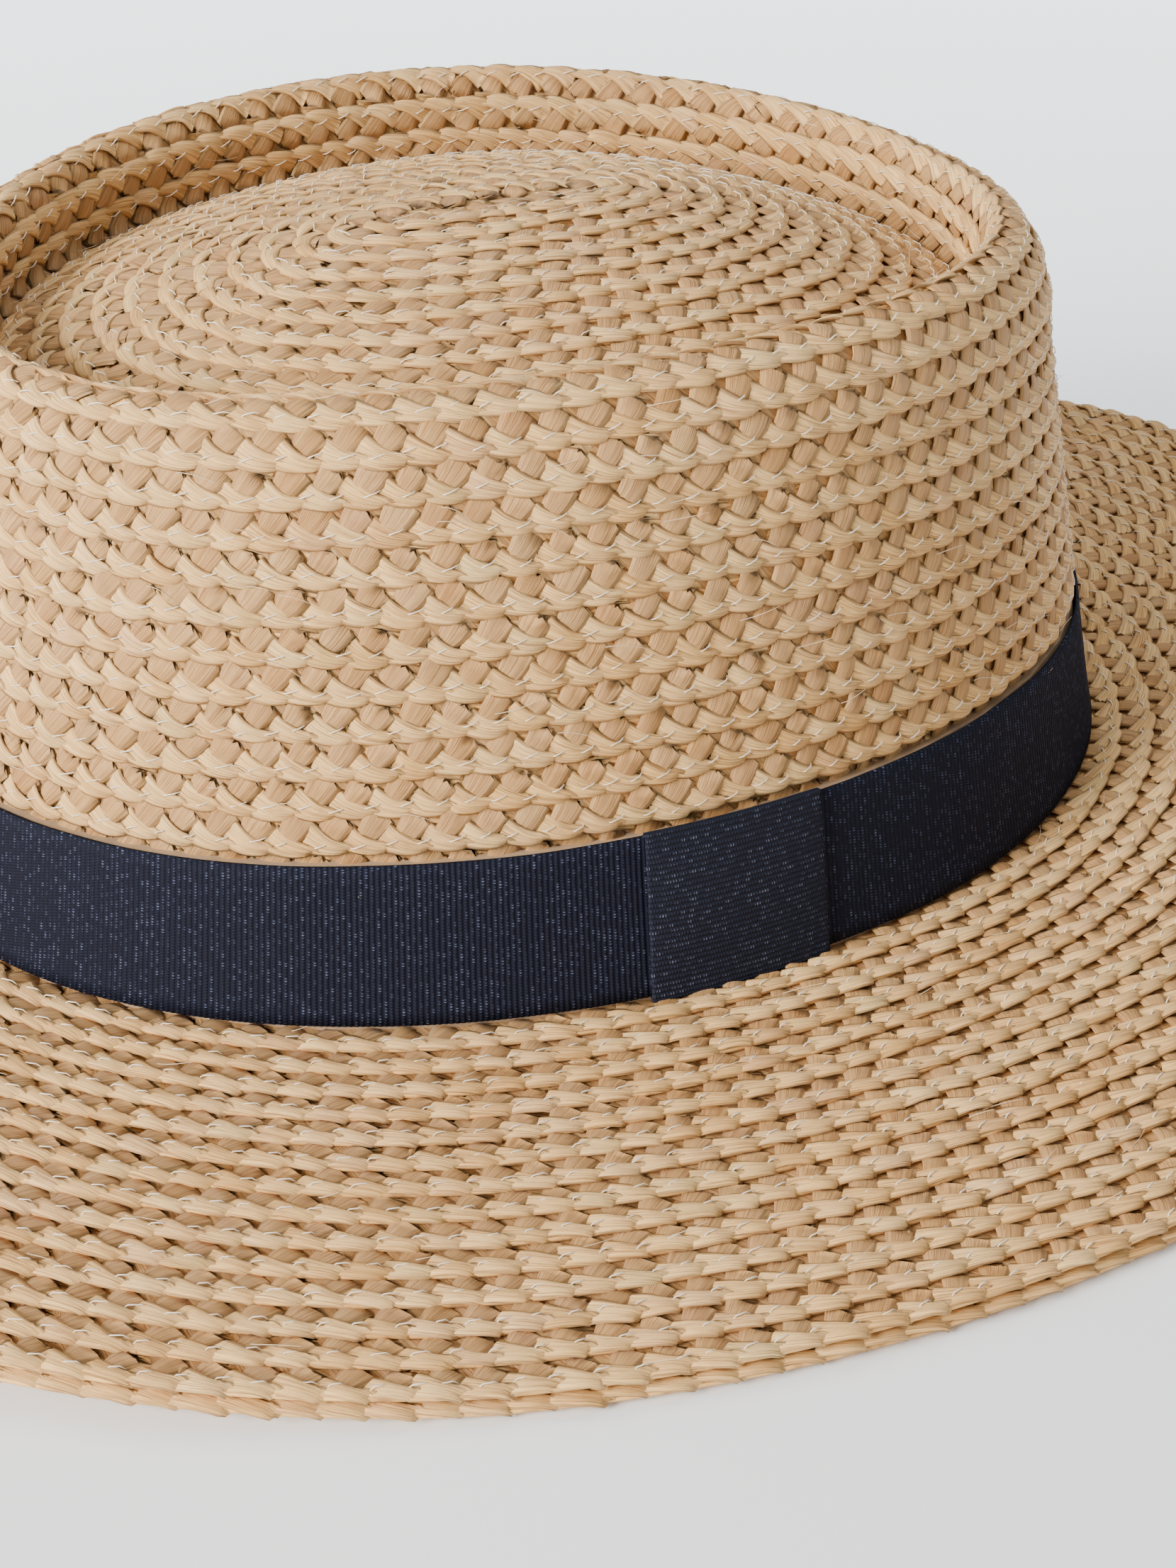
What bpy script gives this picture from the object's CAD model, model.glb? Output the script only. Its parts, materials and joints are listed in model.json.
"""Looks of the straw sun hat: plaited raffia rows, grosgrain band and stitches.

Every row of the hat is a flat plait of four raffia strands. Each strand runs
from edge to edge of the row, passes over and under the others, and wraps
round the edge. Rows lap: the outer edge of each row lies on the next one.
The tip is one winding from its middle. All the other rows are closed rings.
"""

import json
import math

import bpy
import numpy as np
from mathutils import Matrix, Vector

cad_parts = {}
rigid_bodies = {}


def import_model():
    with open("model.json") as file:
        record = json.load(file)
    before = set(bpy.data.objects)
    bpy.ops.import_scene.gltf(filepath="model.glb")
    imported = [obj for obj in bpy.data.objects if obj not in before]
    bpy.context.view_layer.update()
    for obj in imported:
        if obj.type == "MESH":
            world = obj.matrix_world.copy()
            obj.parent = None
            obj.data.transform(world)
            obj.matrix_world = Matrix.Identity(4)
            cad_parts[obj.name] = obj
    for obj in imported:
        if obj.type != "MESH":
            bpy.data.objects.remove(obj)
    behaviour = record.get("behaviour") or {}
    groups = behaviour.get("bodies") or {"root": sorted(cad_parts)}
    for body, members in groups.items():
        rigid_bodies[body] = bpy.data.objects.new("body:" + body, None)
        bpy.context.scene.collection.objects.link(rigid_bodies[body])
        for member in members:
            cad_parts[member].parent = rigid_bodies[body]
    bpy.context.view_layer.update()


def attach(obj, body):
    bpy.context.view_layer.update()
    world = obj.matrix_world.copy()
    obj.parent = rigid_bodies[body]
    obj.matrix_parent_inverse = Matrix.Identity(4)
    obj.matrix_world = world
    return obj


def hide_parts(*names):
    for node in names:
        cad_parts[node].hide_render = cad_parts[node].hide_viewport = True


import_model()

TAU = 2.0 * math.pi
RNG = np.random.default_rng(11)

# The hat's shape, as in the CAD part.
HALF_WIDTH = 0.0889
HALF_LENGTH = 0.1071
OVAL_POWER = 2.07
FOOT_Z = 0.0050
BAND_TOP_Z = 0.0297
SHOULDER_Z = 0.0778
CREST_Z = 0.0949
TROUGH_Z = 0.0800
TIP_Z = 0.0968
BAND_TOP_IN = 0.0041
SIDE_FOOT_IN = 0.0050
SHOULDER_IN = 0.0131
CREST_IN = 0.0219
TROUGH_IN = 0.0262
DOME_POWER = 1.7
BRIM_WIDTH = 0.0750
BRIM_FOOT_Z = 0.0046
BRIM_EDGE_Z = 0.0038
BRIM_LIFT = 0.0086
FLAT_ARC = math.radians(25.0)
# How far the crest leans or dips: across, along, and twice round.
LEAN = (-0.0034, 0.0011, 0.0028)
# Near the middle of the tip the oval closes to a line, with blunt ends.
BLUNT_SHARE = 0.55
BLUNT_REACH = 0.010

# The plait. A strand's phase is 0 at mid-width going outward.
STRANDS = 4
PERIOD = 0.0220
SWING = 0.0042
# The plait's middle lies this far inward of its row's middle line.
INWARD = 0.0007
WEAVE = 0.00042
CENTRE_DEPTH = 0.0008
# Slope of a row across its width, which makes the rows lap.
TILT = 0.25
CROWN_TILT = 0.12
STRAND_WIDTH = 0.0048
STRAND_THICK = 0.0009
# Outer edge of a row, from its middle line.
EDGE_OUT = 0.0043
# Strands narrow by this share and thicken by that one at the edges.
EDGE_PINCH = 0.54
EDGE_SWELL = 0.55
# Noise fades over this length at a row's two ends, so that they meet.
SEAM_FADE = 0.006
CORE_TOP = -0.00008
CORE_THICK = 0.0006
# Longer outward runs and steeper returns, and a longer stay at the outer edge.
SKEW = 0.24
LINGER = 0.30
# Phases at which a strand turns over, at the outer and at the inner edge.
OUTER_TURN = 1.92
INNER_TURN = 4.71
TURN_SHARPNESS = 3.6
# Unevenness of a strand: the share of swing, width and thickness that varies,
# metres of drift, rise and ridges, and radians of roll.
WANDER = 0.06
UNEVEN_WIDTH = 0.13
UNEVEN_THICK = 0.15
DRIFT = 0.00022
RISE = 0.00012
RIDGE = 0.00010
ROLL = 0.16
# Cross-sections for each period of a strand, and metres of plait in a piece.
SAMPLES = 26
PIECE_LENGTH = 2.35


# ---------------------------------------------------------------- surface
def place(out, z, angle):
    """Points at offset 'out' from the foot's oval, at height z and an angle."""
    across, along = np.cos(angle), np.sin(angle)
    swell = np.abs(across) ** OVAL_POWER + np.abs(along) ** OVAL_POWER
    swell = swell ** (-1.0 / OVAL_POWER)
    core = HALF_LENGTH - HALF_WIDTH
    radius = HALF_WIDTH + out
    blunt = 1.0 - BLUNT_SHARE * np.exp(-np.abs(radius) / BLUNT_REACH)
    reach = np.sign(along) * (np.abs(along) + 1e-9) ** blunt
    x = radius * across * swell
    y = (radius * along + core * reach) * swell
    flat = math.sin(FLAT_ARC) ** 2
    rise = np.maximum(0.0, (along**2 - flat) / (1.0 - flat))
    lift = BRIM_LIFT * rise * np.clip(out / BRIM_WIDTH, 0.0, 1.05)
    height = (z - FOOT_Z) / (CREST_Z - FOOT_Z)
    fade = np.clip(radius / (HALF_WIDTH - TROUGH_IN), 0.0, 1.0)
    lean = LEAN[0] * across + LEAN[1] * along + LEAN[2] * np.cos(2.0 * angle)
    lean = lean * height * fade
    return np.stack([x, y, z + np.where(out > 0.0, lift, lean)], -1)


class Path:
    """A surface path in (offset, height), with its outward normals."""

    def __init__(self, points):
        pts = np.array(points, float)
        steps = np.hypot(*np.diff(pts, axis=0).T)
        at = np.concatenate([[0.0], np.cumsum(steps)])
        self.length = at[-1]
        fine = np.arange(0.0, self.length, 0.0002)
        out = np.interp(fine, at, pts[:, 0])
        z = np.interp(fine, at, pts[:, 1])
        kernel = np.hanning(13)
        kernel /= kernel.sum()
        grow = [np.pad(v, 6, mode="reflect", reflect_type="odd") for v in (out, z)]
        out, z = (np.convolve(v, kernel, mode="valid") for v in grow)
        run, rise = np.gradient(out), np.gradient(z)
        size = np.hypot(run, rise)
        self.s = fine
        self.rows = np.stack([out, z, -rise / size, run / size])

    def at(self, s):
        """Offset, height and normal at a distance, carried on past the ends."""
        inside = np.clip(s, 0.0, self.s[-1])
        out, z, n_out, n_z = (np.interp(inside, self.s, r) for r in self.rows)
        over = s - inside
        return out + over * n_z, z - over * n_out, n_out, n_z

    def point(self, s, angle, height):
        """Points at a distance on the path, an angle, and a height above it."""
        out, z, n_out, n_z = self.at(s)
        return place(out + n_out * height, z + n_z * height, angle)


def crown_points():
    """From the tip's middle to the band, with the counts at trough and crest."""
    points = []
    for part in np.linspace(1.0, 0.0, 60):
        fall = (1.0 - part) ** DOME_POWER
        out = -TROUGH_IN - (HALF_WIDTH - TROUGH_IN) * part
        points.append((out, TROUGH_Z + (TIP_Z - TROUGH_Z) * (1.0 - fall)))
    dome_end = len(points)
    points.append((-TROUGH_IN + 0.0012, TROUGH_Z + 0.0016))
    points.append((-CREST_IN - 0.0036, CREST_Z - 0.0062))
    points.append((-CREST_IN - 0.0028, CREST_Z - 0.0026))
    points.append((-CREST_IN - 0.0012, CREST_Z - 0.0005))
    points.append((-CREST_IN, CREST_Z))
    crest_end = len(points)
    for turn in np.linspace(0.5 * math.pi, 0.0, 12)[1:]:
        inset = SHOULDER_IN + (CREST_IN - SHOULDER_IN) * (1.0 - math.cos(turn))
        points.append((-inset, SHOULDER_Z + (CREST_Z - SHOULDER_Z) * math.sin(turn)))
    points.append((-SIDE_FOOT_IN, BAND_TOP_Z))
    points.append((-0.0024, BAND_TOP_Z - 0.016))
    return points, dome_end, crest_end


def run_length(points):
    return float(sum(math.dist(a, b) for a, b in zip(points[:-1], points[1:])))


POINTS, DOME_COUNT, CREST_COUNT = crown_points()
CROWN = Path(POINTS)
DOME_END = run_length(POINTS[:DOME_COUNT])
CREST_AT = run_length(POINTS[:CREST_COUNT])
SIDE_END = run_length(POINTS[:-1])
BRIM = Path([(-0.0060, BRIM_FOOT_Z), (BRIM_WIDTH, BRIM_EDGE_Z)])
BRIM_START = 0.0060


# ---------------------------------------------------------------- rows
class Row:
    """One stretch of plait: its middle line on a path and how it lies."""

    def __init__(self, path, first, last=None, turns=1.0, start=0.0, drop=0.0,
                 tilt=TILT, swing=SWING, core=True):
        self.path = path
        self.core = core
        self.drop = drop
        self.tilt = tilt
        self.swing = swing
        last = first if last is None else last
        count = int(max(720, 720 * turns)) + 1
        part = np.linspace(0.0, 1.0, count)
        self.angle = start + TAU * turns * part
        self.middle = first + (last - first) * part
        line = path.point(self.middle, self.angle, 0.0)
        step = np.linalg.norm(np.diff(line, axis=0), axis=1)
        self.run = np.concatenate([[0.0], np.cumsum(step)])
        self.length = self.run[-1]
        folds = max(4, round(STRANDS * self.length / PERIOD))
        self.period = STRANDS * self.length / folds

    def where(self, run):
        """Middle line's distance on the path, and angle, at a length along it."""
        return (np.interp(run, self.run, self.middle),
                np.interp(run, self.run, self.angle))


def smooth_noise(run, scale, seed):
    """Smooth random values in -1..1 along a length."""
    grid = np.random.default_rng(seed).uniform(-1.0, 1.0, 4096)
    place_at = run / scale + 7.3
    base = np.floor(place_at).astype(int)
    part = place_at - base
    part = part * part * (3.0 - 2.0 * part)
    return grid[base % 4096] * (1.0 - part) + grid[(base + 1) % 4096] * part


# Height of a strand, from -1 under to 1 over, against its phase. The phase is
# 0 at mid-width going outward, a quarter turn at the outer edge and so on.
HEIGHT_PHASE = [-1.57, -1.0, -0.53, -0.1, 0.30, 0.62, 0.96, 1.30, 1.60, 1.90,
                2.18, 2.46, 2.84, 3.25, 3.67, 4.30]
HEIGHT_VALUE = [0.0, 0.8, 1.0, -0.4, -1.0, 0.10, 1.0, 0.80, 0.15, -0.7,
                -1.0, 0.5, 1.35, 1.1, -1.0, -0.7]


def periodic(phase, knots, values):
    """Smooth periodic curve through knots, one turn apart at its ends."""
    knots = np.array(knots + [knots[0] + TAU])
    values = np.array(values + [values[0]])
    turn = (phase - knots[0]) % TAU + knots[0]
    grid = np.linspace(knots[0], knots[-1], 721)[:-1]
    curve = np.interp(grid, knots, values)
    kernel = np.hanning(41) / np.hanning(41).sum()
    curve = np.convolve(np.concatenate([curve] * 3), kernel, mode="same")[720:1440]
    return np.interp(turn, grid, curve, period=TAU)


def strand_height(phase):
    """Height of a strand over the plait's mid-surface, as a share of WEAVE."""
    return periodic(phase, HEIGHT_PHASE, HEIGHT_VALUE)


def strand_roll(phase):
    """Turn of the strand about its own length, as it wraps round the edges."""
    outer = (phase - OUTER_TURN + math.pi) % TAU - math.pi
    inner = (phase - INNER_TURN + math.pi) % TAU - math.pi
    from_edge = np.where(np.abs(outer) < 1.4, outer, inner)
    return 0.5 * math.pi * (1.0 + np.tanh(TURN_SHARPNESS * from_edge))


# Cross-section of a strand: five points over the top, three underneath.
TOP_POINTS = 5
SECTION = [(-1.0, 0.05), (-0.62, 0.86), (0.0, 1.0), (0.62, 0.86), (1.0, 0.05),
           (0.62, -0.75), (0.0, -0.85), (-0.62, -0.75)]


def strand_mesh(row, number, seed, samples):
    """Vertices, quads and fibre coordinates (run, around, 0) of one strand."""
    count = max(8, int(round(samples * row.length / row.period)))
    run = np.linspace(0.0, row.length, count + 1)
    phase = TAU * run / row.period + TAU * number / STRANDS
    phase = phase - SKEW * np.sin(phase) + LINGER * np.cos(phase)
    fade = np.clip(np.minimum(run, row.length - run) / SEAM_FADE, 0.0, 1.0)

    def noise(scale, offset):
        return fade * smooth_noise(run, scale, seed + offset)

    wander = 1.0 + WANDER * noise(0.009, 0)
    v = row.swing * np.sin(phase) * wander - INWARD
    v = v + DRIFT * noise(0.006, 1)
    lift = WEAVE * strand_height(phase)
    lift = lift + RISE * noise(0.004, 2)
    middle, angle = row.where(run)
    height = lift + row.tilt * v - CENTRE_DEPTH - row.drop
    s = middle + v
    centre = row.path.point(s, angle, height)
    side = row.path.point(s + 0.0004, angle, height) - centre
    ahead = row.path.point(s, angle + 0.004, height) - centre
    normal = np.cross(side, ahead)
    tangent = np.gradient(centre, axis=0)
    tangent /= np.linalg.norm(tangent, axis=1)[:, None] + 1e-12
    normal -= (normal * tangent).sum(1)[:, None] * tangent
    normal /= np.linalg.norm(normal, axis=1)[:, None] + 1e-12
    across = np.cross(tangent, normal)
    swing = np.sin(phase - 0.2)
    roll = strand_roll(phase) + ROLL * noise(0.005, 3)
    cos_r, sin_r = np.cos(roll)[:, None], np.sin(roll)[:, None]
    face = normal * cos_r + across * sin_r
    wide = across * cos_r - normal * sin_r
    width = STRAND_WIDTH * (1.0 - EDGE_PINCH * swing**2)
    width = 0.5 * width * (1.0 + UNEVEN_WIDTH * noise(0.007, 4))
    thick = STRAND_THICK * (0.85 + EDGE_SWELL * swing**4)
    thick = 0.5 * thick * (1.0 + UNEVEN_THICK * noise(0.005, 5))
    rings = []
    fibre = []
    size = len(SECTION)
    for k, (a, b) in enumerate(SECTION):
        ridge = RIDGE * noise(0.0028, 10 + k)
        ring = centre + wide * (a * width)[:, None]
        ring = ring + face * (b * thick + ridge)[:, None]
        rings.append(ring)
        around = a if k < TOP_POINTS else 2.0 - a
        fibre.append(np.stack([run, np.full_like(run, around * 0.5), 0.0 * run], -1))
    verts = np.stack(rings, 1).reshape(-1, 3)
    coords = np.stack(fibre, 1).reshape(-1, 3)
    i = np.arange(count)[:, None] * size
    k = np.arange(size)[None, :]
    n = (k + 1) % size
    quads = np.stack([i + k, i + size + k, i + size + n, i + n], -1).reshape(-1, 4)
    return verts, quads, coords


def core_mesh(row):
    """Flat strip inside a row, so the gaps between strands are not empty."""
    count = max(8, int(row.length / 0.0025))
    run = np.linspace(0.0, row.length, count + 1)
    middle, angle = row.where(run)
    rings, fibre = [], []
    for side, depth in ((-1, 0.0), (1, 0.0), (1, -CORE_THICK), (-1, -CORE_THICK)):
        v = side * (row.swing - 0.0002)
        height = row.tilt * v - CENTRE_DEPTH - row.drop + CORE_TOP + depth
        rings.append(row.path.point(middle + v, angle, height + 0.0 * run))
        fibre.append(np.stack([run, np.full_like(run, side * 0.3), 0.0 * run], -1))
    i = np.arange(count)[:, None] * 4
    k = np.arange(4)[None, :]
    n = (k + 1) % 4
    quads = np.stack([i + k, i + 4 + k, i + 4 + n, i + n], -1).reshape(-1, 4)
    tone = np.tile((-0.5, 0.0, 50.0), (4 * (count + 1), 1))
    return (np.stack(rings, 1).reshape(-1, 3), quads,
            np.stack(fibre, 1).reshape(-1, 3), tone)


def new_mesh(name, verts, quads, mat, attributes=()):
    """Mesh object from arrays, smooth shaded, with named point attributes."""
    mesh = bpy.data.meshes.new(name)
    mesh.vertices.add(len(verts))
    mesh.vertices.foreach_set("co", verts.astype(np.float32).ravel())
    size = quads.shape[1]
    mesh.loops.add(quads.size)
    mesh.loops.foreach_set("vertex_index", quads.astype(np.int32).ravel())
    mesh.polygons.add(len(quads))
    mesh.polygons.foreach_set("loop_start", np.arange(0, quads.size, size, dtype=np.int32))
    mesh.polygons.foreach_set("use_smooth", np.ones(len(quads), bool))
    for label, kind, values in attributes:
        layer = mesh.attributes.new(label, kind, "POINT")
        key = "vector" if kind == "FLOAT_VECTOR" else "value"
        layer.data.foreach_set(key, values.astype(np.float32).ravel())
    mesh.update(calc_edges=True)
    mesh.validate()
    mesh.materials.append(mat)
    obj = bpy.data.objects.new(name, mesh)
    bpy.context.scene.collection.objects.link(obj)
    return obj


def plait(name, rows, mat, samples=SAMPLES):
    """One piece holding all the strands of some rows."""
    verts, quads, fibre, tone = [], [], [], []
    base = 0
    for row in rows:
        if row.core:
            v, q, f, t = core_mesh(row)
            verts.append(v)
            quads.append(q + base)
            fibre.append(f)
            tone.append(t)
            base += len(v)
        for number in range(STRANDS):
            seed = int(RNG.integers(1, 1 << 30))
            v, q, f = strand_mesh(row, number, seed, samples)
            verts.append(v)
            quads.append(q + base)
            fibre.append(f)
            rings = len(v) // len(SECTION)
            along = np.linspace(0.0, row.length, rings)
            shade = 0.6 * smooth_noise(along, 0.016, seed + 30)
            shade = shade + 0.4 * smooth_noise(along, 0.11, seed + 31)
            tint = smooth_noise(along, 0.030, seed + 32)
            kind = np.stack([shade, tint, np.full(rings, seed % 997 / 9.97)], -1)
            tone.append(np.repeat(kind, len(SECTION), axis=0))
            base += len(v)
    obj = new_mesh(name, np.concatenate(verts), np.concatenate(quads), mat, [
        ("fibre", "FLOAT_VECTOR", np.concatenate(fibre)),
        ("tone", "FLOAT_VECTOR", np.concatenate(tone)),
    ])
    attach(obj, "root")
    return obj


# ---------------------------------------------------------------- materials
class Nodes:
    """Small helper for building a material's node tree."""

    def __init__(self, name):
        self.mat = bpy.data.materials.new(name)
        self.mat.use_nodes = True
        self.tree = self.mat.node_tree
        self.shader = self.tree.nodes["Principled BSDF"]

    def node(self, kind, **settings):
        node = self.tree.nodes.new(kind)
        for key, value in settings.items():
            setattr(node, key, value)
        return node

    def wire(self, value, socket):
        if isinstance(value, bpy.types.NodeSocket):
            self.tree.links.new(value, socket)
        else:
            socket.default_value = value

    def math(self, operation, a, b=0.0, c=0.0):
        node = self.node("ShaderNodeMath", operation=operation)
        for value, socket in zip((a, b, c), node.inputs):
            self.wire(value, socket)
        return node.outputs[0]

    def attribute(self, name):
        node = self.node("ShaderNodeAttribute", attribute_name=name)
        split = self.node("ShaderNodeSeparateXYZ")
        self.tree.links.new(node.outputs["Vector"], split.inputs[0])
        return split.outputs

    def vector(self, x, y, z):
        node = self.node("ShaderNodeCombineXYZ")
        for value, socket in zip((x, y, z), node.inputs):
            self.wire(value, socket)
        return node.outputs[0]

    def noise(self, vector, scale=1.0, detail=2.0, rough=0.5):
        node = self.node("ShaderNodeTexNoise")
        self.wire(vector, node.inputs["Vector"])
        node.inputs["Scale"].default_value = scale
        node.inputs["Detail"].default_value = detail
        node.inputs["Roughness"].default_value = rough
        return node.outputs["Fac"]

    def ramp(self, value, low, high, out_low=0.0, out_high=1.0):
        node = self.node("ShaderNodeMapRange")
        self.wire(value, node.inputs["Value"])
        node.inputs["From Min"].default_value = low
        node.inputs["From Max"].default_value = high
        node.inputs["To Min"].default_value = out_low
        node.inputs["To Max"].default_value = out_high
        return node.outputs["Result"]

    def mix(self, factor, a, b, blend="MIX"):
        node = self.node("ShaderNodeMix", data_type="RGBA", blend_type=blend)
        self.wire(factor, node.inputs["Factor"])
        for value, socket in ((a, node.inputs[6]), (b, node.inputs[7])):
            if isinstance(value, tuple):
                value = (*value, 1.0)
            self.wire(value, socket)
        return node.outputs[2]

    def bump(self, height, distance, strength=1.0):
        node = self.node("ShaderNodeBump")
        node.inputs["Strength"].default_value = strength
        node.inputs["Distance"].default_value = distance
        self.wire(height, node.inputs["Height"])
        self.tree.links.new(node.outputs[0], self.shader.inputs["Normal"])

    def finish(self, colour, roughness):
        self.wire(colour, self.shader.inputs["Base Color"])
        self.wire(roughness, self.shader.inputs["Roughness"])
        return self.mat


# Streaks in the straw: noise cells per metre along a strand, and across one.
FINE_ALONG = 150.0
FINE_ACROSS = 34.0
BROAD_ALONG = 90.0
BROAD_ACROSS = 9.0


def raffia_material():
    """Straw: 'fibre' runs along each strand, 'tone' varies strand by strand."""
    n = Nodes("raffia")
    run, around, _ = n.attribute("fibre")
    shade, tint, which = n.attribute("tone")
    fine_run = n.math("MULTIPLY", run, FINE_ALONG)
    fine = n.vector(fine_run, n.math("MULTIPLY", around, FINE_ACROSS), which)
    streak = n.noise(fine, 1.0, 3.0, 0.6)
    broad_run = n.math("MULTIPLY", run, BROAD_ALONG)
    broad = n.vector(broad_run, n.math("MULTIPLY", around, BROAD_ACROSS), which)
    band = n.noise(broad, 1.0, 2.0, 0.5)
    pale = (0.94, 0.555, 0.185)
    deep = (0.58, 0.295, 0.080)
    brown = (0.22, 0.080, 0.018)
    bleached = (0.97, 0.68, 0.32)
    dark = (0.50, 0.26, 0.075)
    green = (0.50, 0.44, 0.20)
    pink = (0.62, 0.34, 0.22)
    body = n.mix(n.ramp(band, 0.30, 0.66), deep, pale)
    body = n.mix(n.ramp(shade, -0.9, 0.9, 0.0, 0.55), body, bleached)
    body = n.mix(n.ramp(shade, -0.2, -1.0, 0.0, 0.40), body, dark)
    body = n.mix(n.ramp(tint, 0.55, 1.0, 0.0, 0.30), body, green)
    body = n.mix(n.ramp(tint, -0.5, -1.0, 0.0, 0.28), body, pink)
    body = n.mix(n.ramp(streak, 0.50, 0.34, 0.0, 0.80), body, brown)
    edge = n.math("ABSOLUTE", around)
    body = n.mix(n.ramp(edge, 0.40, 0.56, 0.0, 0.55), body, brown)
    rough = n.ramp(streak, 0.3, 0.7, 0.72, 0.50)
    n.bump(streak, 0.00035, 0.8)
    n.shader.inputs["Specular IOR Level"].default_value = 0.35
    n.shader.inputs["Sheen Weight"].default_value = 0.05
    return n.finish(body, rough)


def ribbon_material(name, dark, light):
    """Grosgrain: 'cloth' holds metres across the ribs and along them."""
    n = Nodes(name)
    across, along, _ = n.attribute("cloth")
    rib = n.math("MULTIPLY", across, TAU / RIB)
    ridge = n.ramp(n.math("COSINE", rib), -1.0, 1.0)
    index = n.math("ROUND", n.math("DIVIDE", across, RIB))
    shift = n.math("MULTIPLY", index, 0.5)
    pick = n.math("ADD", n.math("DIVIDE", along, PICK), shift)
    grain = n.math("COSINE", n.math("MULTIPLY", pick, TAU))
    grain = n.ramp(grain, -1.0, 1.0)
    spot = n.noise(n.vector(index, n.math("FLOOR", pick), 0.0), 3.7, 0.0)
    speck = n.math("MULTIPLY", n.math("MULTIPLY", ridge, grain), n.ramp(spot, 0.42, 0.75))
    colour = n.mix(n.ramp(speck, 0.25, 0.95), dark, light)
    height = n.math("ADD", n.math("MULTIPLY", ridge, 0.6), n.math("MULTIPLY", grain, 0.4))
    n.bump(height, 0.00012, 0.9)
    n.shader.inputs["Specular IOR Level"].default_value = 0.12
    return n.finish(colour, 0.7)


def plain_material(name, colour, roughness):
    n = Nodes(name)
    cloud = n.noise(n.node("ShaderNodeTexCoord").outputs["Object"], 900.0, 2.0)
    darker = tuple(0.75 * c for c in colour)
    return n.finish(n.mix(cloud, darker, colour), roughness)


RIB = 0.00085
PICK = 0.00048
RAFFIA = raffia_material()
NAVY = ribbon_material("hatband_grosgrain", (0.0055, 0.0065, 0.0145), (0.10, 0.12, 0.20))
KEEPER = ribbon_material("keeper_grosgrain", (0.0095, 0.0110, 0.0200), (0.13, 0.15, 0.22))
LINING = ribbon_material("sweatband_grosgrain", (0.42, 0.35, 0.26), (0.66, 0.58, 0.46))
THREAD = plain_material("sewing_thread", (0.90, 0.80, 0.66), 0.45)


# ---------------------------------------------------------------- the straw
# Rings start within this arc, on the side away from the camera.
SEAM_ARC = (1.9, 3.4)


def ring_rows(path, edges, **settings):
    """Closed rows whose outer edges lie at the given distances."""
    rows = []
    for edge in edges:
        start = float(RNG.uniform(*SEAM_ARC))
        rows.append(Row(path, edge - EDGE_OUT, start=start, **settings))
    return rows


def build(name, rows, nodes):
    """Rows as pieces of at most PIECE_LENGTH of plait; the first replaces nodes."""
    groups = [[]]
    total = 0.0
    for row in rows:
        if total + row.length > PIECE_LENGTH and groups[-1]:
            groups.append([])
            total = 0.0
        groups[-1].append(row)
        total += row.length
    made = []
    for k, group in enumerate(groups):
        label = name if len(groups) == 1 else f"{name}_{k + 1}"
        made.append(plait(label, group, RAFFIA))
    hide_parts(*nodes)
    return made


DOME_ROWS = 12
SIDE_ROWS = 12
BRIM_ROWS = 14
WALL_PITCH = 0.0056
DOME_PITCH = (CREST_AT - 3.0 * WALL_PITCH) / DOME_ROWS
SIDE_PITCH = (SIDE_END - 0.0016 - CREST_AT) / SIDE_ROWS
BRIM_PITCH = (BRIM_WIDTH + 0.0004) / BRIM_ROWS
SPIRAL_START = -0.5 * math.pi
TIP_OFFSET = 0.35
TIP_SHIFT = 0.0022


def spiral(first_turn, last_turn, core=True):
    """The tip's winding, between two turns counted from its middle."""
    a = DOME_PITCH * (first_turn + TIP_OFFSET) - EDGE_OUT + TIP_SHIFT
    b = DOME_PITCH * (last_turn + TIP_OFFSET) - EDGE_OUT + TIP_SHIFT
    turns = last_turn - first_turn
    return [Row(CROWN, a, b, turns, SPIRAL_START + TAU * first_turn,
                tilt=CROWN_TILT, core=core)]


TIP = {
    "tip_start": (spiral(0.0, 2.0), ["tip_start_rows"]),
    "tip_inner": (spiral(2.0, 5.0), ["tip_inner_rows"]),
    "tip_middle": (spiral(5.0, 8.0), ["tip_middle_rows"]),
    "tip_outer": (spiral(8.0, 10.0) + spiral(10.0, 11.25, core=False), ["tip_outer_rows"]),
}
wall_edges = [CREST_AT - WALL_PITCH * k for k in (3, 2, 1, 0)]
shoulder_edges = [CREST_AT + SIDE_PITCH * k for k in (1, 2, 3, 4)]
upper_edges = [CREST_AT + SIDE_PITCH * k for k in (5, 6, 7)]
middle_edges = [CREST_AT + SIDE_PITCH * k for k in (8, 9, 10)]
lower_edges = [CREST_AT + SIDE_PITCH * k for k in (11, 12)]
# One more row goes under the band, sunk below the others.
tucked = ring_rows(CROWN, [CREST_AT + SIDE_PITCH * (SIDE_ROWS + 1)], drop=0.0011, tilt=0.10)
brim_edges = [BRIM_START + BRIM_PITCH * k for k in range(1, BRIM_ROWS + 1)]

GROUPS = dict(TIP)
# The trough is too tight for a core strip, so its rows have none.
wall = ring_rows(CROWN, wall_edges[:2], tilt=CROWN_TILT, core=False)
wall += ring_rows(CROWN, wall_edges[2:], tilt=CROWN_TILT)
GROUPS["inner_wall"] = (wall, ["inner_wall_rows"])
GROUPS["shoulder"] = (ring_rows(CROWN, shoulder_edges, tilt=CROWN_TILT), ["shoulder_rows"])
GROUPS["side_upper"] = (ring_rows(CROWN, upper_edges, tilt=CROWN_TILT), ["side_upper_rows"])
GROUPS["side_middle"] = (ring_rows(CROWN, middle_edges, tilt=CROWN_TILT), ["side_middle_rows"])
GROUPS["side_lower"] = (ring_rows(CROWN, lower_edges, tilt=CROWN_TILT) + tucked, ["side_lower_rows"])
GROUPS["brim_inner"] = (ring_rows(BRIM, brim_edges[:5]), ["brim_inner_rows"])
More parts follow.
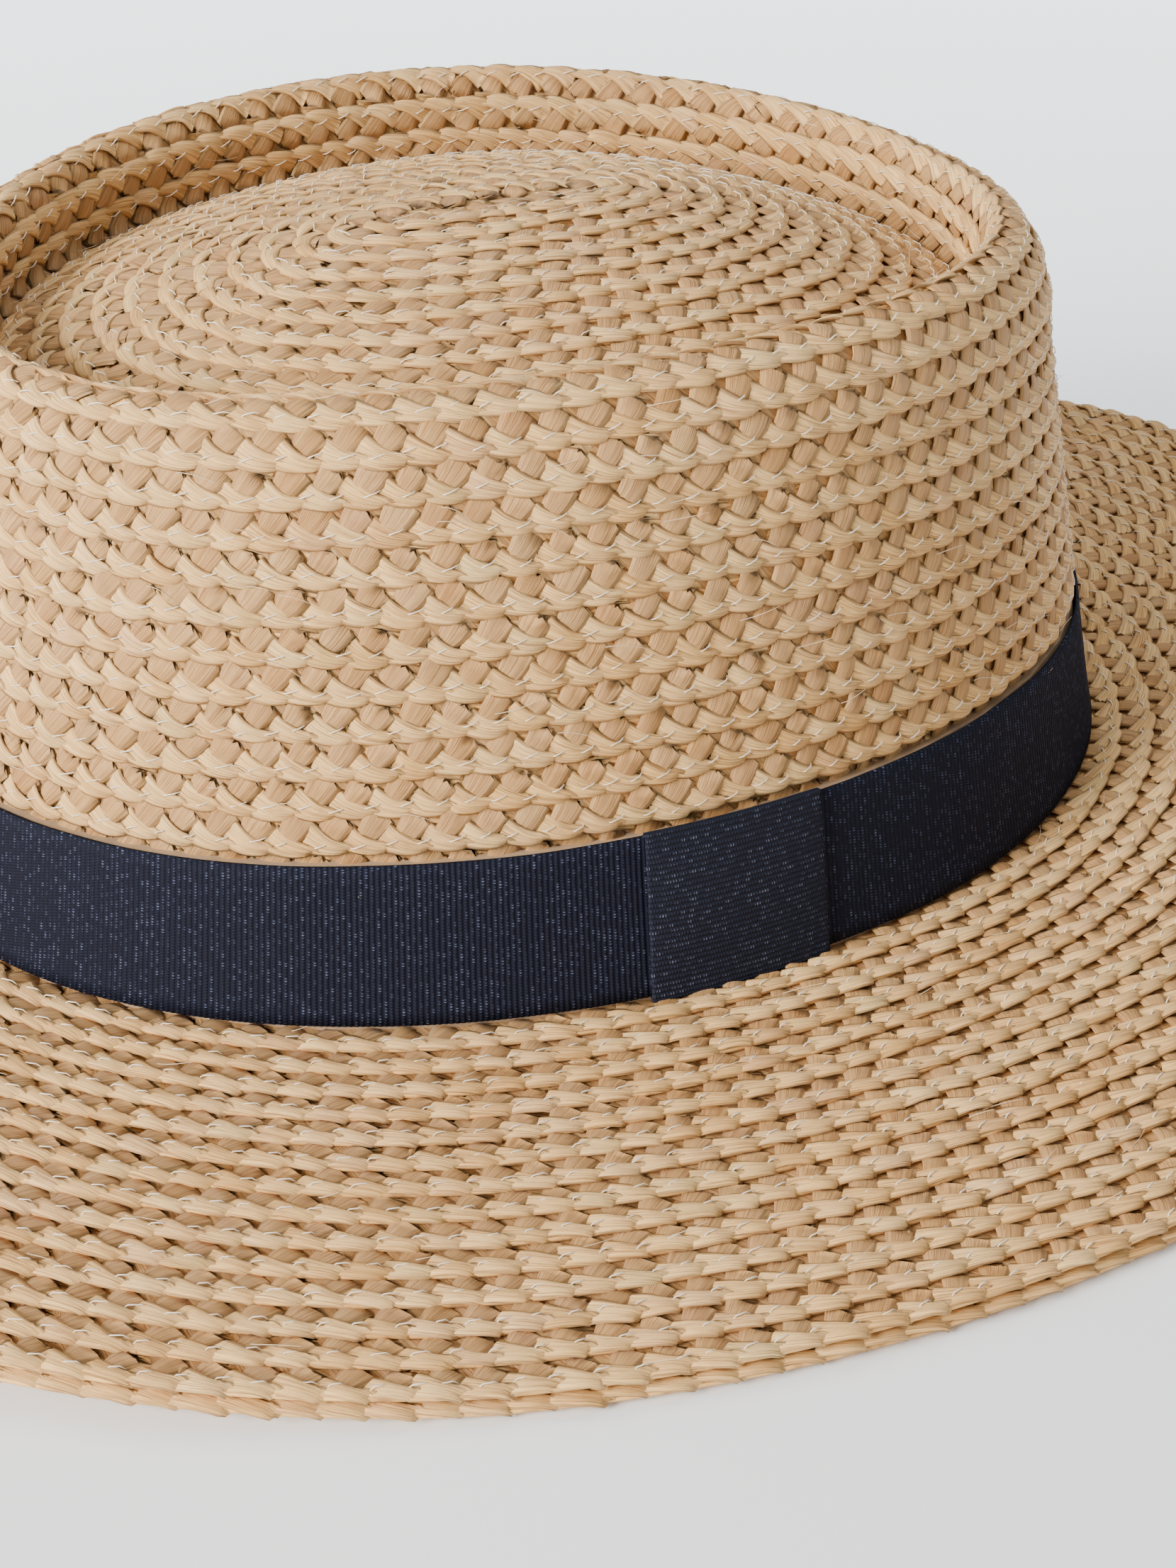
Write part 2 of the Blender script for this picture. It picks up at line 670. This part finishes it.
GROUPS["brim_middle"] = (ring_rows(BRIM, brim_edges[5:10]), ["brim_middle_rows"])
GROUPS["brim_outer"] = (ring_rows(BRIM, brim_edges[10:]), ["brim_outer_rows"])
# The turned-under row at the brim's edge, below the last lapped one.
fold = ring_rows(BRIM, [BRIM_START + BRIM_WIDTH + 0.0007], drop=0.0016, tilt=0.04)
GROUPS["brim_fold"] = (fold, ["brim_edge_row"])
for label, (rows, nodes) in GROUPS.items():
    build(f"{label}_braid", rows, nodes)


# ---------------------------------------------------------------- thread
def tube_batch(name, paths, radius, mat, sides=4):
    """Many short thin tubes, each a list of points, as one mesh."""
    verts, quads = [], []
    base = 0
    ring = np.arange(sides) * TAU / sides
    for path, thin in paths:
        pts = np.asarray(path)
        tangent = np.gradient(pts, axis=0)
        tangent /= np.linalg.norm(tangent, axis=1)[:, None] + 1e-12
        guide = np.array([0.31, 0.42, 0.85])
        one = np.cross(tangent, guide)
        one /= np.linalg.norm(one, axis=1)[:, None] + 1e-12
        two = np.cross(tangent, one)
        size = radius * np.asarray(thin)[:, None, None]
        wheel = one[:, None] * np.cos(ring)[:, None] + two[:, None] * np.sin(ring)[:, None]
        verts.append((pts[:, None] + wheel * size).reshape(-1, 3))
        i = np.arange(len(pts) - 1)[:, None] * sides
        k = np.arange(sides)[None, :]
        n = (k + 1) % sides
        quads.append(np.stack([i + k, i + n, i + sides + n, i + sides + k], -1).reshape(-1, 4) + base)
        base += len(pts) * sides
    return new_mesh(name, np.concatenate(verts), np.concatenate(quads), mat)


STITCH_GAP = 0.0045
STITCH_LONG = 0.0023
STITCH_RADIUS = 0.00011
STITCH_OUT = 0.0025
STITCH_SLANT = 0.00042
STITCH_DIP = 0.0005


def stitches(row):
    """Short slanted stitches, whose ends go down into the straw."""
    paths = []
    run = float(RNG.uniform(0.0, STITCH_GAP))
    while run < row.length - STITCH_LONG:
        length = STITCH_LONG * float(RNG.uniform(0.8, 1.25))
        part = np.array([0.0, 0.25, 0.75, 1.0])
        along = run + length * part
        v = STITCH_OUT + float(RNG.normal(0.0, 0.00025))
        v = v + STITCH_SLANT * (1.0 - 2.0 * part)
        middle, angle = row.where(along)
        arch = np.array([-STITCH_DIP, 0.00004, 0.00004, -STITCH_DIP])
        height = row.tilt * v - CENTRE_DEPTH - row.drop
        height = height + WEAVE + 0.5 * STRAND_THICK + 0.00012 + arch
        paths.append((row.path.point(middle + v, angle, height), [0.7, 1.0, 1.0, 0.7]))
        run += STITCH_GAP * float(RNG.uniform(0.8, 1.2))
    return paths


def thread(name, labels):
    paths = []
    for label in labels:
        for row in GROUPS[label][0]:
            paths += stitches(row)
    obj = tube_batch(name, paths, STITCH_RADIUS, THREAD)
    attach(obj, "root")


thread("tip_stitches", ["tip_start", "tip_inner", "tip_middle", "tip_outer", "inner_wall"])
thread("side_stitches", ["shoulder", "side_upper", "side_middle", "side_lower"])
thread("brim_stitches", ["brim_inner", "brim_middle", "brim_outer"])


def stray_fibres(name, labels, count):
    """Loose ends that stand a little out of the rows."""
    paths = []
    rows = [row for label in labels for row in GROUPS[label][0]]
    for _ in range(count):
        row = rows[int(RNG.integers(len(rows)))]
        run = float(RNG.uniform(0.0, row.length))
        length = float(RNG.uniform(0.002, 0.008))
        rise = float(RNG.uniform(0.0003, 0.0016))
        bend = float(RNG.uniform(-1.0, 1.0))
        part = np.linspace(0.0, 1.0, 7)
        v = float(RNG.uniform(-0.001, 0.004)) + bend * 0.0024 * part**2
        along = np.clip(run + length * part, 0.0, row.length)
        middle, angle = row.where(along)
        height = row.tilt * v - CENTRE_DEPTH + WEAVE + 0.0004 + rise * part**1.5
        thin = 1.0 - 0.7 * part
        paths.append((row.path.point(middle + v, angle, height), thin))
    mat = plain_material("raffia_fibre", (0.78, 0.60, 0.40), 0.6)
    obj = tube_batch(name, paths, 0.00009, mat, 3)
    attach(obj, "root")


stray_fibres("stray_fibres", [k for k in GROUPS if k != "brim_fold"], 420)


# ---------------------------------------------------------------- ribbons
def oval_table():
    """Angles round the crown's foot, and the length round it at each."""
    angle = np.linspace(0.0, TAU, 2881)
    line = place(np.zeros_like(angle), np.full_like(angle, FOOT_Z), angle)
    step = np.linalg.norm(np.diff(line, axis=0), axis=1)
    return angle, np.concatenate([[0.0], np.cumsum(step)])


OVAL_ANGLE, OVAL_RUN = oval_table()
OVAL_LENGTH = OVAL_RUN[-1]


def shell(name, outer, inner, cloth, mat, closed):
    """Thin closed shell from an outer and an inner grid of the same size."""
    rows, cols = outer.shape[:2]
    verts = np.concatenate([outer.reshape(-1, 3), inner.reshape(-1, 3)])
    half = rows * cols
    quads = []
    last = cols if closed else cols - 1
    i = np.arange(rows - 1)[:, None] * cols
    k = np.arange(last)[None, :]
    n = (k + 1) % cols
    face = np.stack([i + k, i + n, i + cols + n, i + cols + k], -1).reshape(-1, 4)
    quads += [face, face[:, ::-1] + half]
    k = np.arange(last)
    n = (k + 1) % cols
    quads.append(np.stack([n, k, k + half, n + half], -1))
    top = (rows - 1) * cols
    quads.append(np.stack([top + k, top + n, top + n + half, top + k + half], -1))
    if not closed:
        r = np.arange(rows - 1) * cols
        quads.append(np.stack([r, r + cols, r + cols + half, r + half], -1))
        e = r + cols - 1
        quads.append(np.stack([e + cols, e, e + half, e + cols + half], -1))
    coords = np.concatenate([cloth.reshape(-1, 3)] * 2)
    return new_mesh(name, verts, np.concatenate(quads), mat, [("cloth", "FLOAT_VECTOR", coords)])


BAND_LOW = FOOT_Z + 0.0002
BAND_HIGH = BAND_TOP_Z + 0.0002
BAND_HEIGHT = math.hypot(BAND_HIGH - BAND_LOW, BAND_TOP_IN)


def band_line(part):
    """Offset and height of the band's outer face from its lower edge, 0 to 1."""
    return -BAND_TOP_IN * part, BAND_LOW + (BAND_HIGH - BAND_LOW) * part


def hatband():
    """Ribbed band round the foot of the crown, slightly wavy at its edges."""
    ribs = int(round(OVAL_LENGTH / RIB))
    cols = ribs * 4
    run = np.arange(cols) * OVAL_LENGTH / cols
    angle = np.interp(run, OVAL_RUN, OVAL_ANGLE)
    part = np.linspace(0.0, 1.0, 13)[:, None]
    out, z = band_line(part)
    wave = 0.00022 * smooth_noise(run, 0.021, 5)[None, :] * (1.0 - part)
    wave = wave + 0.00012 * smooth_noise(run, 0.012, 6)[None, :] * part
    flare = 0.00035 * (1.0 - part) ** 4
    rib = 0.00006 * np.cos(TAU * np.arange(cols) / 4.0)[None, :]
    sag = 0.00018 * smooth_noise(run, 0.030, 8)[None, :]
    angles = np.broadcast_to(angle, (len(part), cols))
    outer = place(out + wave + flare + rib, z + sag + 0.0 * angles, angles)
    inner = place(out + wave + flare - 0.0004, z + sag + 0.0 * angles, angles)
    across = np.broadcast_to(np.arange(cols) * RIB / 4.0, angles.shape)
    along = np.broadcast_to(part * BAND_HEIGHT, angles.shape)
    cloth = np.stack([across, along, 0.0 * angles], -1)
    obj = shell("hatband_ribbon", outer, inner, cloth, NAVY, True)
    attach(obj, "root")
    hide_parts("hatband")
    return obj


KEEPER_FROM = math.radians(-10.5)
KEEPER_TO = math.radians(5.5)


def keeper():
    """Square of ribbon over the band, its two ends folded behind it."""
    start = np.interp(KEEPER_FROM + TAU, OVAL_ANGLE, OVAL_RUN) - OVAL_LENGTH
    stop = np.interp(KEEPER_TO, OVAL_ANGLE, OVAL_RUN)
    cols = 61
    run = np.linspace(start, stop, cols)
    angle = np.interp(run % OVAL_LENGTH, OVAL_RUN, OVAL_ANGLE)
    ribs = int(round(BAND_HEIGHT / RIB)) + 1
    front = np.linspace(-0.022, 1.022, ribs * 4 + 1)
    low_turn = [(-0.0010, 0.06), (-0.0010, 0.0), (-0.0006, -0.024), (0.0, -0.032)]
    high_turn = [(0.0, 1.032), (-0.0006, 1.024), (-0.0010, 1.0), (-0.0010, 0.94)]
    line = low_turn + [(0.0, float(p)) for p in front] + high_turn
    off = np.array([a for a, _ in line])[:, None]
    part = np.array([b for _, b in line])[:, None]
    out, z = band_line(part)
    angles = np.broadcast_to(angle, (len(line), cols))
    edge = np.abs(np.linspace(-1.0, 1.0, cols))[None, :]
    rib = 0.00006 * np.cos(TAU * part * BAND_HEIGHT / RIB)
    puff = 0.0009 + 0.00035 * np.sin(math.pi * np.clip(part, 0.0, 1.0)) * (1.0 - edge**6)
    outer = place(out + off + puff + rib, z + 0.0 * angles, angles)
    inner = place(out + off + puff - 0.0004, z + 0.0 * angles, angles)
    across = np.broadcast_to(part * BAND_HEIGHT, angles.shape)
    along = np.broadcast_to(run, angles.shape)
    cloth = np.stack([across, along, 0.0 * angles], -1)
    obj = shell("keeper_ribbon", outer, inner, cloth, KEEPER, False)
    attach(obj, "root")
    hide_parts("band_keeper")
    return obj


SWEATBAND_RISE = 0.0235
SWEATBAND_IN = 0.0040
SWEATBAND_LEAN = 0.0040
SWEATBAND_HEIGHT = 0.0238


def sweatband():
    """Plain lining ribbon inside the foot of the crown."""
    cols = 720
    run = np.arange(cols) * OVAL_LENGTH / cols
    angle = np.interp(run, OVAL_RUN, OVAL_ANGLE)
    part = np.linspace(0.0, 1.0, 9)[:, None]
    z = BAND_LOW + SWEATBAND_RISE * part
    out = -SWEATBAND_IN - SWEATBAND_LEAN * part
    wave = 0.0003 * smooth_noise(run, 0.018, 15)[None, :] * part
    angles = np.broadcast_to(angle, (len(part), cols))
    outer = place(out - wave + 0.0 * angles, z + 0.0 * angles, angles)
    inner = place(out - wave - 0.0005 + 0.0 * angles, z + 0.0 * angles, angles)
    across = np.broadcast_to(run, angles.shape)
    along = np.broadcast_to(part * SWEATBAND_HEIGHT, angles.shape)
    cloth = np.stack([across, along, 0.0 * angles], -1)
    obj = shell("sweatband_ribbon", outer, inner, cloth, LINING, True)
    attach(obj, "root")
    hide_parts("sweatband")
    return obj


hatband()
keeper()
sweatband()

# The rows behind the band stay as in the CAD, in a plain straw colour.
SEAT = plain_material("band_seat_straw", (0.46, 0.31, 0.18), 0.75)
for item in bpy.data.objects:
    if item.name == "band_seat_rows":
        item.data.materials.clear()
        item.data.materials.append(SEAT)


# ---------------------------------------------------------------- stage
AZIMUTH = math.radians(61.58)
# The floor brightens away from the camera's side, as a lit studio sweep does.
GLOW_CENTRE = (0.31, -0.17, 0.0)
GLOW_FROM = 0.22
GLOW_FULL = 0.97
FLOOR_GLOW = 1.60


def floor():
    mesh = bpy.data.meshes.new("floor")
    size = 6.0
    corners = [(-size, -size, 0.0), (size, -size, 0.0), (size, size, 0.0), (-size, size, 0.0)]
    mesh.from_pydata(corners, [], [(0, 1, 2, 3)])
    n = Nodes("floor")
    n.shader.inputs["Specular IOR Level"].default_value = 0.1
    spot = n.node("ShaderNodeNewGeometry").outputs["Position"]
    apart = n.node("ShaderNodeVectorMath", operation="DISTANCE")
    n.wire(spot, apart.inputs[0])
    apart.inputs[1].default_value = GLOW_CENTRE
    glow = n.ramp(apart.outputs["Value"], GLOW_FROM, GLOW_FULL, 0.0, FLOOR_GLOW)
    n.shader.inputs["Emission Color"].default_value = (0.90, 0.96, 1.0, 1.0)
    n.wire(glow, n.shader.inputs["Emission Strength"])
    mesh.materials.append(n.finish((0.86, 0.875, 0.89, 1.0), 0.9))
    obj = bpy.data.objects.new("floor", mesh)
    bpy.context.scene.collection.objects.link(obj)


def area_light(name, position, target, size, power, colour):
    data = bpy.data.lights.new(name, "AREA")
    data.shape = "DISK"
    data.size = size
    data.energy = power
    data.color = colour
    obj = bpy.data.objects.new(name, data)
    bpy.context.scene.collection.objects.link(obj)
    obj.location = position
    aim = Vector(target) - Vector(position)
    obj.rotation_euler = aim.to_track_quat("-Z", "Y").to_euler()


floor()
world = bpy.data.worlds.new("studio")
world.use_nodes = True
sky = world.node_tree.nodes["Background"]
sky.inputs["Color"].default_value = (0.93, 0.96, 1.0, 1.0)
sky.inputs["Strength"].default_value = 0.68
bpy.context.scene.world = world
area_light("key", position=(0.34, -1.60, 0.70), target=(0.0, 0.0, 0.05), size=0.9,
           power=84.0, colour=(1.0, 0.97, 0.93))
area_light("top", position=(-0.3, 0.4, 1.8), target=(0.0, 0.0, 0.0), size=1.6,
           power=16.0, colour=(1.0, 0.99, 0.97))

# Camera: azimuth and elevation about the foot of the crown, with a sideways shift.
ELEVATION = math.radians(29.56)
DISTANCE = 0.4523
SENSOR = 36.0
LENS = 59.33
SHIFT = (0.0153, -0.0117)


def photo_camera():
    back = Vector((math.sin(AZIMUTH) * math.cos(ELEVATION),
                   -math.cos(AZIMUTH) * math.cos(ELEVATION), math.sin(ELEVATION)))
    right = Vector((math.cos(AZIMUTH), math.sin(AZIMUTH), 0.0))
    up = back.cross(right)
    data = bpy.data.cameras.new("camera")
    data.lens = LENS
    data.sensor_width = SENSOR
    data.clip_start = 0.01
    camera = bpy.data.objects.new("camera", data)
    bpy.context.scene.collection.objects.link(camera)
    turn = Matrix((right, up, back)).transposed().to_4x4()
    foot = Vector((0.0, 0.0, FOOT_Z))
    spot = back * DISTANCE + right * SHIFT[0] + up * SHIFT[1] + foot
    camera.matrix_world = Matrix.Translation(spot) @ turn
    bpy.context.scene.camera = camera


photo_camera()
